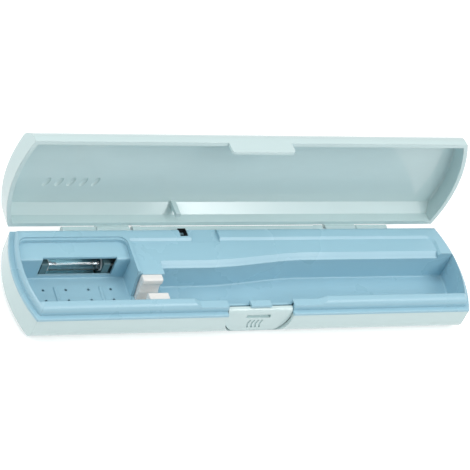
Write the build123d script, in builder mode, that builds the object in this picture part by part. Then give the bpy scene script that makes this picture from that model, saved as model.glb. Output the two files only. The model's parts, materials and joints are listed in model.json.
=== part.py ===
from build123d import *
import os
from math import cos, radians, sin

# Travel case for a toothbrush, with a germicidal lamp beside the brush head.
# Millimetres. X runs along the case, +Y towards the hinge, +Z up.
# The origin is the centre of the flat underside. The lid is modelled closed
# and then swung open about the hinge, which is how the case is stored here.

# Outline of the case, seen from above
CASE_LENGTH = 225.6
CASE_WIDTH = 50.7
END_ARC_R = 68.0
ARC_CENTRE_X = CASE_LENGTH / 2 - END_ARC_R
HALF_WIDTH = CASE_WIDTH / 2

# Base casing
BASE_DEPTH = 16.4
BASE_WALL = 1.9
BASE_FLOOR = 1.8
BASE_SIDE_ROUND = 8.2
BASE_END_ROUND = 4.4
RIM_Z = BASE_DEPTH

# Lid casing
LID_HEIGHT = 11.0
LID_WALL = 2.0
LID_TOP = 1.7
LID_SIDE_ROUND = 8.9
LID_END_ROUND = 2.1
LID_FACET = 4.1
LID_INNER_END_ROUND = 0.6
LID_GAP = 0.15
LID_Z = RIM_Z + LID_GAP
LID_ROOF_Z = LID_Z + LID_HEIGHT - LID_TOP

# Hinge
OPEN_ANGLE = 95.3
HINGE_Y = HALF_WIDTH + 1.3
HINGE_Z = RIM_Z - 1.5
KNUCKLE_R = 1.9
PIN_R = 0.8
PIN_RUNNING_GAP = 0.05
PIN_COVER = 1.5
PIN_END_ROUND = 0.2
WEB_REACH = 2.4
KNUCKLE_GAP = 0.3
HINGE_MARGIN = 30.1
BASE_KNUCKLE_LENGTH = 16.4
LID_KNUCKLE_LENGTH = 16.0
EAR_LENGTH = 4.0
EAR_GAP = 1.5
KNUCKLE_OUTER_X = CASE_LENGTH / 2 - HINGE_MARGIN
BASE_KNUCKLE_X = (KNUCKLE_OUTER_X - BASE_KNUCKLE_LENGTH, KNUCKLE_OUTER_X)
LID_KNUCKLE_END_X = BASE_KNUCKLE_X[0] - KNUCKLE_GAP
LID_KNUCKLE_X = (LID_KNUCKLE_END_X - LID_KNUCKLE_LENGTH, LID_KNUCKLE_END_X)
EAR_END_X = LID_KNUCKLE_X[0] - EAR_GAP
EAR_X = (EAR_END_X - EAR_LENGTH, EAR_END_X)
SPINE_R = 1.75
SPINE_GAP = 0.15
BASE_KNUCKLE_SIDES = (LID_KNUCKLE_X[1], BASE_KNUCKLE_X[1] + KNUCKLE_GAP)
HINGE_AXIS = Axis((0, HINGE_Y, HINGE_Z), (1, 0, 0))

# Tray insert
FLANGE = 1.3
FLANGE_ROUND = 0.45
LIP_INSET = 2.3
LIP_HEIGHT = 4.7
LIP_ROUND = 3.1
LIP_WIDTH = 4.1
LIP_END_WIDTH = 1.4
LIP_SKIN = 1.6
TRAY_WALL = 1.2
TRAY_ROOF = 1.4
SHELF_DROP = 1.0
SHELF_SLOPE = 1.1
SHELF_LEDGE = 9.75
SHELF_BACK_Y = HALF_WIDTH - SHELF_LEDGE
SHELF_END_MARGIN = 11.3
SHELF_END_X = CASE_LENGTH / 2 - SHELF_END_MARGIN
SHELF_CORNER_R = 3.0
POCKET_FRONT_Y = -(HALF_WIDTH - LIP_INSET - LIP_WIDTH)
TRAY_DEPTH = 10.6
FLOOR_Z = RIM_Z - TRAY_DEPTH
LEDGE_Z = RIM_Z + LIP_HEIGHT
SHELF_Z = LEDGE_Z - SHELF_DROP
HOLLOW_Z = SHELF_Z - TRAY_ROOF

# Brush head chamber, at the left end
CHAMBER_LENGTH = 57.2
CHAMBER_RIGHT_X = -CASE_LENGTH / 2 + CHAMBER_LENGTH
CHAMBER_LEDGE = 7.6
CHAMBER_BACK_Y = HALF_WIDTH - CHAMBER_LEDGE
CHAMBER_CORNER_R = 4.0
REBATE_WIDTH = 1.2
REBATE_DEPTH = 0.7
FLOOR_COVE = 0.8
LAMP_ROOM = 10.95
LAMP_WALL_Y = CHAMBER_BACK_Y - LAMP_ROOM
LAMP_FROM_PARTITION = 24.15
LAMP_CENTRE_X = CHAMBER_RIGHT_X - LAMP_FROM_PARTITION
ROOF_FRONT_Z = RIM_Z + 2.0
ROOF_BACK_Z = RIM_Z + 2.4
ROOF_ROUND = 1.0
BEAD_WIDTH = 1.0
BEAD_HEIGHT = 0.7
DRAIN_HOLE_R = 0.65
DRAIN_PITCH_X = 10.8
DRAIN_PITCH_Y = 6.1
DRAIN_CENTRE = (LAMP_CENTRE_X + 0.15, LAMP_WALL_Y - 10.0)
FLOOR_RIB = (0.85, 8.8, 0.7)
FLOOR_RIB_X = (LAMP_CENTRE_X - 10.25, LAMP_CENTRE_X + 11.45)

# Window in front of the lamp
WINDOW_LENGTH = 35.5
WINDOW_X = (LAMP_CENTRE_X - WINDOW_LENGTH / 2, LAMP_CENTRE_X + WINDOW_LENGTH / 2)
WINDOW_SILL_Z = RIM_Z - 9.0
WINDOW_CUT_BACK = 1.3

# Partition and the pocket that holds the neck clip
PARTITION = 1.3
CLIP_POCKET_X = CHAMBER_RIGHT_X + PARTITION
CLIP_POCKET_WIDTH = 15.15
CLIP_POCKET_BACK_Y = POCKET_FRONT_Y + CLIP_POCKET_WIDTH
NOTCH_WIDTH = (13.25, 16.05)
NOTCH_FOOT_Y = POCKET_FRONT_Y + NOTCH_WIDTH[0]
NOTCH_TOP_Y = POCKET_FRONT_Y + NOTCH_WIDTH[1]
NOTCH_Z = RIM_Z - 9.0

# Handle trough
CLIP_POCKET_LENGTH = 11.6
POCKET_LAP = 2.2
TROUGH_LEFT_X = CLIP_POCKET_X + CLIP_POCKET_LENGTH
TROUGH_LEDGE = (23.85, 19.95)
TROUGH_WALL_Y = (HALF_WIDTH - TROUGH_LEDGE[0], HALF_WIDTH - TROUGH_LEDGE[1])
TROUGH_STRAIGHT = 22.7
TROUGH_BEND = 53.0
TROUGH_BEND_X = (TROUGH_LEFT_X + TROUGH_STRAIGHT, TROUGH_LEFT_X + TROUGH_STRAIGHT + TROUGH_BEND)
TROUGH_BAND = (2.6, 2.2)
TROUGH_DRAFT = 3.0

# Low stretch of the lip and the opening for the button
LOW_LIP_HALF = 29.8
LOW_LIP_RAMP = 3.5
LOW_LIP_HEIGHT = 2.8
LIP_CUT_SPARE = 0.5
BUTTON_HALF = 16.0
BUTTON_GAP = 0.35
BUTTON_CUT_DEPTH = 4.9
BUTTON_SHOULDER_Z = RIM_Z - 2.0
BUTTON_FOOT_HALF = 10.4
BUTTON_REACH = 13.1
BUTTON_FOOT_Z = RIM_Z - BUTTON_REACH
BUTTON_SIDE_MID = (15.1, RIM_Z - 8.0)
BUTTON_TOP_Z = RIM_Z + 1.2
BUTTON_DEPTH = 4.05
BUTTON_BACK_Y = -HALF_WIDTH + BUTTON_DEPTH
BUTTON_TRAVEL = 0.9
EAR_REACH = 2.0
EAR_PLAY = 0.05
EAR_SPAN_Z = (RIM_Z - 4.7, RIM_Z - 2.1)
BUTTON_SKIN = 1.3
BUTTON_HOLLOW_Z = RIM_Z - 7.1
GRIP_COUNT = 4
GRIP_PITCH = 2.0
GRIP_REACH = (5.9, 11.0)
GRIP_Z = (RIM_Z - GRIP_REACH[0], RIM_Z - GRIP_REACH[1])
GRIP_ARC_R = 4.0
GRIP_WIDTH = 0.8
GRIP_DEPTH = 0.5
SPRING_HALF = 7.5
SPRING_Z = (RIM_Z - 9.2, RIM_Z - 7.6)
SPRING_SHEET = 0.25
SPRING_GAP = 0.4
SPRING_CURL = 0.4
SPRING_FOOT = 1.2
SPRING_FLAT = 2.0
TONGUE_THICKNESS = 1.5
TONGUE_GAP = 0.25
TONGUE_END_Z = RIM_Z - 6.05
TONGUE_CORNER_R = 1.6
CATCH_DEPTH = 1.1
CATCH_GAP = 0.25
CATCH_SLOPE = 0.45
SLOT_HALF = 6.0
SLOT_Z = (RIM_Z - 4.3, RIM_Z - 2.3)
SLOT_DEPTH = 1.3
TAB_HALF = 5.1
TAB_Z = (RIM_Z + 1.5, RIM_Z + 2.6)
TAB_SETBACK = 2.95
TAB_FRONT_Y = -HALF_WIDTH + TAB_SETBACK
CUT_WALL_Z = RIM_Z + 0.2

# Neck clip
CLIP_WIDTH = 9.5
CLIP_TOP_Z = RIM_Z + 4.2
CLIP_GAP = 0.15
CLIP_EDGE_ROUND = 0.8
NECK_Y = POCKET_FRONT_Y + 7.75
NECK_Z = RIM_Z - 1.2
NECK_R = 4.4
NECK_MOUTH = 6.8
NECK_FLOOR_Z = RIM_Z - 8.8

# Lamp
LAMP_BEHIND_WALL = 5.4
LAMP_Y = LAMP_WALL_Y + LAMP_BEHIND_WALL
LAMP_Z = RIM_Z - 7.0
LAMP_R = 3.2
LAMP_END_ROUND = 1.9
LAMP_LENGTH = 30.5
LAMP_X = (LAMP_CENTRE_X - LAMP_LENGTH / 2, LAMP_CENTRE_X + LAMP_LENGTH / 2)
HOLDER_LENGTH = 3.2
HOLDER_LAP = 2.0
HOLDER_HALF = 4.1
HOLDER_ROUND = 1.0
REFLECTOR_R = 6.2
REFLECTOR_REACH = (1.5, 1.0)
REFLECTOR_SHEET = 0.4

# Lid interlock: a post on the lid enters a hole in the ledge
POST_FROM_PARTITION = 28.8
POST_X = CHAMBER_RIGHT_X + POST_FROM_PARTITION
POST_INSET = 6.05
POST_Y = HALF_WIDTH - POST_INSET
POST_SIZE = (2.4, 1.8)
POST_TIP_Z = RIM_Z + 0.5
POST_HOLE_X = 3.9
POST_HOLE_Y = (POST_Y - 1.6, POST_Y + 3.4)
RECESS_GAP = 3.2
RECESS_LENGTH = 14.0
RECESS_X = (POST_X + RECESS_GAP, POST_X + RECESS_GAP + RECESS_LENGTH)
RECESS_DEPTH = 1.4
PLUNGER_R = 1.1
PLUNGER_TRAVEL = 1.0
SWITCH_SIZE = (6.4, 4.6, 7.0)
SWITCH_CORNER_R = 0.4
SWITCH_LEG_PITCH = (3.6, 2.4)
SWITCH_LEG = (0.8, 0.5)
SWITCH_TOP_Z = RIM_Z - 1.4
POST_PLUNGER_GAP = 0.1
PLUNGER_DEPTH = 2.6
PLUNGER_GAP = 0.06
PLUNGER_ROUND = 0.4
PLUNGER_WELL = PLUNGER_DEPTH + PLUNGER_TRAVEL + 2.4
PLUNGER_WIRE_R = 0.15
PLUNGER_TURNS = 3.2

# Circuit board and what stands on it
BOARD_LENGTH = 33.0
BOARD_WIDTH = 15.4
BOARD_FROM_PARTITION = 8.1
BOARD_INSET = 4.75
BOARD_X = (
    CHAMBER_RIGHT_X + BOARD_FROM_PARTITION,
    CHAMBER_RIGHT_X + BOARD_FROM_PARTITION + BOARD_LENGTH,
)
BOARD_Y = (HALF_WIDTH - BOARD_INSET - BOARD_WIDTH, HALF_WIDTH - BOARD_INSET)
BOARD_Z = 3.4
BOARD_THICKNESS = 1.2
STANDOFF_R = 1.8
STANDOFF_INSET = 3.0
BOARD_CORNER_R = 1.0
BOARD_TOP_Z = BOARD_Z + BOARD_THICKNESS
TRANSFORMER_SIZE = (13.0, 9.5, 8.0)
CORE_LEG = 2.5
CORE_YOKE = 1.5
CORE_ROUND = 0.4
WINDING_INSET = 1.0
WINDING_SIZE = (8.9, 6.4)
WINDING_ROUND = 1.2
TRANSFORMER_AT = (BOARD_X[0] + 8.5, BOARD_Y[0] + 6.8)
CAPACITOR_R = 3.15
CAPACITOR_HEIGHT = 9.5
CAN_ROUND = 0.5
CAPACITOR_AT = (BOARD_X[1] - 8.0, BOARD_Y[0] + 4.2)
TRANSISTOR_R = 2.1
TRANSISTOR_FLAT = 0.8
TRANSISTOR_LEGS = 2.0
PIN_PITCH = 1.27
LEG_WIDTH = 0.45
TRANSISTOR_AT = (BOARD_X[1] - 2.5, BOARD_Y[0] + 3.4)
TIMER_AT = (BOARD_X[1] - 2.9, BOARD_Y[0] + 10.6)
TIMER_SIZE = (4.9, 3.9, 1.5)
CHIP_LIFT = 0.15
CHIP_LEGS = 4
CHIP_LEG = (0.4, 2.1, 0.7)
LEAD_R = 0.6
LEAD_OUT = 2.6
LEAD_SIDE = 1.5
LEAD_RISE = 2.7
LEAD_LAP = 0.5
LEAD_BEND = 1.1
PAD_INSET = 1.5

# Two AAA cells in line behind the trough
CELL_R = 5.25
CELL_LENGTH = 44.5
CELL_NUB = (1.9, 0.8)
CELL_INSET = 12.95
CELL_Y = HALF_WIDTH - CELL_INSET
CELL_Z = BASE_FLOOR + 0.35 + CELL_R
BAY_GAP = 3.0
CONTACT_ROOM = 6.2
CELL_START_X = BOARD_X[1] + BAY_GAP + CONTACT_ROOM
CONTACT_SHEET = 0.4
CONTACT_SIZE = (8.0, 7.6)
CONTACT_CORNER_R = 0.6
CONTACT_LIFT = 0.3
CONTACT_WIRE_R = 0.3
CONTACT_PITCH = 1.3
CONTACT_CONE = (3.2, -14)
CELL_SPACE = 0.1
CELLS_END_X = CELL_START_X + 2 * CELL_LENGTH + CELL_SPACE
BAY_HALF = CELL_R + 0.25
BAY_WALL = 1.1
BAY_WALL_RISE = 1.5

# Battery door, which slides off towards +X
DOOR_LEFT_X = CELL_START_X - CONTACT_ROOM
DOOR_THICKNESS = 1.7
DOOR_GAP = 0.15
DOOR_TONGUE = 0.8
DOOR_LEDGE_Z = 0.85
DOOR_GROOVES = 5
GROOVE_START = 8.0
GROOVE_PITCH = 2.2
GROOVE_SIZE = (0.9, 6.0, 0.8)

# Screws from below
SCREW_ROW_Y = -HALF_WIDTH + 16.35
SCREW_END_MARGIN = 16.0
SCREW_BACK_INSET = 12.85
SCREW_PLACES = [
    (-CASE_LENGTH / 2 + SCREW_END_MARGIN, SCREW_ROW_Y),
    (CHAMBER_RIGHT_X + 3.6, HALF_WIDTH - SCREW_BACK_INSET),
    (CHAMBER_RIGHT_X + 6.6, SCREW_ROW_Y - 2.0),
    (CHAMBER_RIGHT_X + 83.6, SCREW_ROW_Y),
    (CASE_LENGTH / 2 - SCREW_END_MARGIN, SCREW_ROW_Y),
]
SCREW_HEAD_R = 1.9
SCREW_HEAD_H = 0.9
SCREW_R = 1.0
SCREW_SLOT = (2.2, 0.5)
SCREW_RECESS = 1.1
SCREW_LENGTH = 4.2
SCREW_GAP = 0.15
PILOT_SPARE = 0.1
PAD_GAP = 0.1
PAD_R = 3.0
PAD_TOP_Z = 2.8
BOSS_R = 2.4

# Slanted marks moulded into the lid beside the lamp
MARK_COUNT = 5
MARK_PITCH = 5.9
MARK_INSET = 18.35
MARK_X = LAMP_CENTRE_X - 12.05
MARK_Y = HALF_WIDTH - MARK_INSET
MARK_RADII = (2.8, 1.35, 0.8)
MARK_ANGLE = -60.0

os.makedirs("parts", exist_ok=True)


def case_form(inset, low_z, high_z, side_round, end_round, side_cut=fillet):
    """The casing's outer form, moved in by an inset, with its lower edges rounded or cut."""
    height = high_z - low_z
    half_width = HALF_WIDTH - inset
    arc_r = END_ARC_R - inset
    with BuildPart() as form:
        with BuildSketch(Plane.XZ) as disc_section:
            with Locations((ARC_CENTRE_X + arc_r / 2, (low_z + high_z) / 2)):
                Rectangle(arc_r, height)
            if end_round > 0:
                outer_low = disc_section.vertices().group_by(Axis.X)[-1].sort_by(Axis.Y)[0]
                fillet(outer_low, end_round)
        revolve(axis=Axis((ARC_CENTRE_X, 0, 0), (0, 0, 1)))
        mirror(about=Plane.YZ)
        with Locations((0, 0, (low_z + high_z) / 2)):
            Box(2 * ARC_CENTRE_X, 2 * half_width, height)
        with BuildSketch(Plane.YZ.offset(-CASE_LENGTH / 2)) as cross_section:
            with Locations((0, (low_z + high_z) / 2)):
                Rectangle(2 * half_width, height)
            if side_round > 0:
                side_cut(cross_section.vertices().group_by(Axis.Y)[0], side_round)
        extrude(amount=CASE_LENGTH, mode=Mode.INTERSECT)
    return form.part


def base_form(inset, low_z, high_z):
    """The base's form with its roundings made concentric at any inset."""
    return case_form(inset, low_z, high_z, BASE_SIDE_ROUND - inset, BASE_END_ROUND - inset)


def mark_form():
    """The oval form of one mark, centred where it meets the surface."""
    with BuildPart() as oval:
        Sphere(1)
        scale(by=MARK_RADII)
    return oval.part


def lid_form(inset, high_z, side_round, end_round, side_cut=fillet):
    """The closed lid's form, made upside down and turned over."""
    upside_down = case_form(inset, LID_Z - high_z, 0, side_round, end_round, side_cut)
    return upside_down.mirror(Plane.XY).moved(Location((0, 0, LID_Z)))


def swing_open(closed_part):
    """Turn a part that is modelled on the closed lid to the open rest pose."""
    return closed_part.rotate(HINGE_AXIS, -OPEN_ANGLE)


def button_outline(grow, top_z):
    """The button's tapering outline, grown all round, as a sketch of X and Z."""
    half = BUTTON_HALF + grow
    foot = (BUTTON_FOOT_HALF + grow, BUTTON_FOOT_Z - grow)
    mid = (BUTTON_SIDE_MID[0] + grow, BUTTON_SIDE_MID[1] - grow / 2)
    shoulder = (half, BUTTON_SHOULDER_Z)
    with BuildSketch() as outline:
        with BuildLine():
            Polyline((0, top_z), (half, top_z), shoulder)
            ThreePointArc(shoulder, mid, foot)
            Line(foot, (0, foot[1]))
            mirror(about=Plane.YZ)
        make_face()
    return outline.sketch


def ring_section(radius):
    """Add a round hinge section at the hinge axis to a sketch on YZ."""
    with Locations((HINGE_Y, HINGE_Z)):
        Circle(radius)


def both_sides(span):
    """The X spans of a hinge feature on the right and on the left."""
    return [span, (-span[1], -span[0])]


def box_between(low, high, mode=Mode.ADD):
    """A box between two corners."""
    size = [high[i] - low[i] for i in range(3)]
    centre = [(high[i] + low[i]) / 2 for i in range(3)]
    with Locations(tuple(centre)):
        Box(*size, mode=mode)


# Base casing: the lower shell with its hinge knuckles, screw pads, board
# posts and battery bay
BASE_TOP_Z = RIM_Z - FLANGE

with BuildPart() as base_shell:
    add(base_form(0, 0, BASE_TOP_Z))
    add(base_form(BASE_WALL, BASE_FLOOR, BASE_TOP_Z), mode=Mode.SUBTRACT)

    # Hinge: outer knuckles, inner ears and the low spine between them
    for span in both_sides(BASE_KNUCKLE_X) + both_sides(EAR_X):
        with BuildSketch(Plane.YZ.offset(span[0])):
            ring_section(KNUCKLE_R)
            with BuildLine():
                Polyline(
                    (HALF_WIDTH - BASE_WALL, BASE_TOP_Z),
                    (HINGE_Y, BASE_TOP_Z),
                    (HINGE_Y + KNUCKLE_R, HINGE_Z),
                    (HALF_WIDTH - BASE_WALL, HINGE_Z - WEB_REACH * KNUCKLE_R),
                    close=True,
                )
            make_face()
        extrude(amount=span[1] - span[0])
    with BuildSketch(Plane.YZ.offset(-EAR_X[0])):
        ring_section(SPINE_R)
        with BuildLine():
            Polyline(
                (HALF_WIDTH - BASE_WALL, BASE_TOP_Z),
                (HINGE_Y, BASE_TOP_Z),
                (HINGE_Y + SPINE_R, HINGE_Z),
                (HALF_WIDTH - BASE_WALL, HINGE_Z - 2 * SPINE_R),
                close=True,
            )
        make_face()
        with Locations((HALF_WIDTH + SPINE_GAP, BASE_TOP_Z)):
            Rectangle(CASE_WIDTH, CASE_WIDTH, align=(Align.MAX, Align.MIN), mode=Mode.SUBTRACT)
    extrude(amount=2 * EAR_X[0])

    # Clearance for the lid's knuckles, and the bores for the pins
    for span in both_sides((EAR_X[1], BASE_KNUCKLE_X[0])):
        with BuildSketch(Plane.YZ.offset(span[0])):
            ring_section(KNUCKLE_R + KNUCKLE_GAP)
        extrude(amount=span[1] - span[0], mode=Mode.SUBTRACT)
    for span in both_sides((EAR_X[0], BASE_KNUCKLE_X[1] - PIN_COVER)):
        with BuildSketch(Plane.YZ.offset(span[0])):
            ring_section(PIN_R)
        extrude(amount=span[1] - span[0], mode=Mode.SUBTRACT)

    # Opening in the front wall for the button
    with BuildSketch(Plane.XZ.offset(HALF_WIDTH + 1)):
        add(button_outline(BUTTON_GAP, RIM_Z + 1))
    extrude(amount=-(BUTTON_CUT_DEPTH + 1), mode=Mode.SUBTRACT)

    # Screw pads and holes, open from below
    for x, y in SCREW_PLACES:
        with BuildSketch(Plane.XY.offset(BASE_FLOOR / 2)):
            with Locations((x, y)):
                Circle(PAD_R)
        extrude(amount=PAD_TOP_Z - BASE_FLOOR / 2)
        with BuildSketch(Plane.XY):
            with Locations((x, y)):
                Circle(SCREW_HEAD_R + SCREW_GAP)
        extrude(amount=SCREW_RECESS, mode=Mode.SUBTRACT)
        with BuildSketch(Plane.XY):
            with Locations((x, y)):
                Circle(SCREW_R + SCREW_GAP)
        extrude(amount=PAD_TOP_Z, mode=Mode.SUBTRACT)

    # Posts under the circuit board
    for x in (BOARD_X[0] + STANDOFF_INSET, BOARD_X[1] - STANDOFF_INSET):
        for y in (BOARD_Y[0] + STANDOFF_INSET, BOARD_Y[1] - STANDOFF_INSET):
            with BuildSketch(Plane.XY.offset(BASE_FLOOR / 2)):
                with Locations((x, y)):
                    Circle(STANDOFF_R)
            extrude(amount=BOARD_Z - BASE_FLOOR / 2)

    # Battery bay: end walls and a back wall on the floor
    bay_top = CELL_Z + BAY_WALL_RISE
    bay_low = (DOOR_LEFT_X, CELLS_END_X + CONTACT_SHEET + CELL_SPACE)
    bay_back_y = CELL_Y + BAY_HALF + DOOR_TONGUE
    for x in bay_low:
        box_between(
            (x, CELL_Y - BAY_HALF, BASE_FLOOR / 2),
            (x + BAY_WALL, bay_back_y + BAY_WALL, bay_top),
        )
    box_between(
        (bay_low[0], bay_back_y, BASE_FLOOR / 2),
        (bay_low[1] + BAY_WALL, bay_back_y + BAY_WALL, bay_top),
    )

    # Stepped opening for the battery door, open at the right-hand end
    box_between(
        (DOOR_LEFT_X, CELL_Y - BAY_HALF, -1),
        (CASE_LENGTH / 2, CELL_Y + BAY_HALF, DOOR_THICKNESS + DOOR_GAP),
        Mode.SUBTRACT,
    )
    box_between(
        (DOOR_LEFT_X, CELL_Y - BAY_HALF - DOOR_TONGUE, DOOR_LEDGE_Z),
        (CASE_LENGTH / 2, CELL_Y + BAY_HALF + DOOR_TONGUE, DOOR_THICKNESS + DOOR_GAP),
        Mode.SUBTRACT,
    )
base_shell.part.label = "base_shell"
export_step(base_shell.part, "parts/base_shell.step")


# Tray insert: one thin moulding with the flange, the lip, the chamber for the
# brush head and the trough for the handle
def end_arc(inset, y_from, y_to, side):
    """An arc along the case's end between two Y values; side is +1 at the right."""
    radius = END_ARC_R - inset

    def point(y):
        return (side * (ARC_CENTRE_X + (radius**2 - y**2) ** 0.5), y)

    return ThreePointArc(point(y_from), point((y_from + y_to) / 2), point(y_to))


POCKET_END_INSET = LIP_INSET + LIP_END_WIDTH


def chamber_plan(grow, back_y):
    """The chamber's plan, grown all round."""
    front_y = POCKET_FRONT_Y - grow
    right_x = CHAMBER_RIGHT_X + grow
    with BuildSketch() as plan:
        with BuildLine():
            arc = end_arc(POCKET_END_INSET - grow, front_y, back_y, -1)
            Polyline(arc @ 1, (right_x, back_y), (right_x, front_y), arc @ 0)
        make_face()
    return plan.sketch


def trough_plan(grow, drop):
    """The trough's plan, with its S-curve, grown all round and moved in by a drop."""
    front_y = POCKET_FRONT_Y - grow + drop
    left_x = TROUGH_LEFT_X - grow + drop
    back_left_y = TROUGH_WALL_Y[0] + grow - drop
    back_right_y = TROUGH_WALL_Y[1] + grow - drop
    bend_a = (TROUGH_BEND_X[0], back_left_y)
    bend_b = (TROUGH_BEND_X[1], back_right_y)
    with BuildSketch() as plan:
        with BuildLine():
            Line((left_x, back_left_y), bend_a)
            Spline(bend_a, bend_b, tangents=[(1, 0), (1, 0)])
            arc = end_arc(POCKET_END_INSET - grow + drop, back_right_y, front_y, 1)
            Line(bend_b, arc @ 0)
            Polyline(arc @ 1, (left_x, front_y), (left_x, back_left_y))
        make_face()
    return plan.sketch


def tapered_trough(grow, low_z, high_z, cove=0):
    """Loft the trough between its plan at the floor and at the top, with a cove below."""
    drop_per_mm = sin(radians(TROUGH_DRAFT)) / cos(radians(TROUGH_DRAFT))
    with BuildPart() as trough:
        with BuildSketch(Plane.XY.offset(low_z)):
            add(trough_plan(grow, drop_per_mm * (LEDGE_Z - low_z)))
        with BuildSketch(Plane.XY.offset(high_z)):
            add(trough_plan(grow, drop_per_mm * (LEDGE_Z - high_z)))
        loft(ruled=True)
        if cove > 0:
            fillet(trough.faces().sort_by(Axis.Z)[0].edges(), cove)
    return trough.part


def tray_bowls():
    """Outsides of the chamber, the clip pocket and the trough, before they are hollowed."""
    with BuildPart() as bowls:
        with BuildSketch(Plane.XY.offset(FLOOR_Z - TRAY_WALL)):
            add(chamber_plan(PARTITION, LAMP_WALL_Y + TRAY_WALL))
        extrude(amount=SHELF_Z - FLOOR_Z)
        box_between(
            (CLIP_POCKET_X - PARTITION, POCKET_FRONT_Y - TRAY_WALL, FLOOR_Z - TRAY_WALL),
            (TROUGH_LEFT_X + 1, CLIP_POCKET_BACK_Y + TRAY_WALL, SHELF_Z - TRAY_WALL),
        )
        add(tapered_trough(TRAY_WALL, FLOOR_Z - TRAY_WALL, SHELF_Z - TRAY_WALL))
        add(case_form(LIP_INSET, 0, LEDGE_Z, 0, 0), mode=Mode.INTERSECT)
    return bowls.part


def lamp_roof(low_shift, high_shift):
    """The sloping roof over the lamp, between two heights above its lower face."""
    front = (LAMP_WALL_Y, ROOF_FRONT_Z)
    back = (CHAMBER_BACK_Y + 1, ROOF_BACK_Z)
    with BuildPart() as roof:
        with BuildSketch(Plane.YZ.offset(-CASE_LENGTH / 2)):
            with BuildLine():
                Polyline(
                    (front[0], front[1] + low_shift),
                    (back[0], back[1] + low_shift),
                    (back[0], back[1] + high_shift),
                    (front[0], front[1] + high_shift),
                    close=True,
                )
            make_face()
        extrude(amount=CASE_LENGTH / 2 + CHAMBER_RIGHT_X + PARTITION)
        with BuildSketch(Plane.XY):
            add(chamber_plan(PARTITION, CHAMBER_BACK_Y + 1))
        extrude(amount=2 * LEDGE_Z, mode=Mode.INTERSECT)
    return roof.part


def chamber_hollow():
    """The space in the chamber: deep in front of the lamp wall, shallow over the roof."""
    with BuildPart() as hollow:
        with BuildSketch(Plane.XY.offset(FLOOR_Z)):
            add(chamber_plan(0, LAMP_WALL_Y))
        extrude(amount=LEDGE_Z - FLOOR_Z + 1)
        fillet(hollow.faces().sort_by(Axis.Z)[0].edges(), FLOOR_COVE)
        # Above the roof, then a rebate round the back at the level of the ledge
        for low_z, back_y in (
            (ROOF_FRONT_Z, CHAMBER_BACK_Y - REBATE_WIDTH),
            (LEDGE_Z - REBATE_DEPTH, CHAMBER_BACK_Y),
        ):
            with BuildSketch(Plane.XY.offset(low_z)) as upper:
                add(chamber_plan(0, back_y))
                fillet(upper.vertices().group_by(Axis.Y)[-1], CHAMBER_CORNER_R)
            extrude(amount=LEDGE_Z - low_z + 1)
        add(lamp_roof(-TRAY_WALL, 0), mode=Mode.SUBTRACT)
    return hollow.part


def shelf_plan(grow):
    """The shelf's plan, grown at its back and at its right-hand end."""
    left_x = CHAMBER_RIGHT_X + PARTITION
    with BuildSketch() as plan:
        with BuildLine():
            Polyline(
                (left_x, POCKET_FRONT_Y),
                (left_x, SHELF_BACK_Y + grow),
                (SHELF_END_X + grow, SHELF_BACK_Y + grow),
                (SHELF_END_X + grow, POCKET_FRONT_Y),
                close=True,
            )
        make_face()
        far_corner = plan.vertices().sort_by(Axis.X)[-2:].sort_by(Axis.Y)[-1]
        fillet(far_corner, SHELF_CORNER_R + grow)
    return plan.sketch


def trough_band():
    """The slanted band along the top of the trough's back wall."""
    width, depth = TROUGH_BAND
    with BuildPart() as band:
        for z, reach in ((SHELF_Z - depth, 0), (SHELF_Z, width)):
            with BuildSketch(Plane.XY.offset(z)):
                with BuildLine():
                    bend_a = (TROUGH_BEND_X[0], TROUGH_WALL_Y[0] + reach)
                    bend_b = (TROUGH_BEND_X[1], TROUGH_WALL_Y[1] + reach)
                    start = (TROUGH_LEFT_X, bend_a[1])
                    Line(start, bend_a)
                    Spline(bend_a, bend_b, tangents=[(1, 0), (1, 0)])
                    Polyline(
                        bend_b, (SHELF_END_X, bend_b[1]), (SHELF_END_X, 0), (TROUGH_LEFT_X, 0), start
                    )
                make_face()
        loft(ruled=True)
    return band.part


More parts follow.
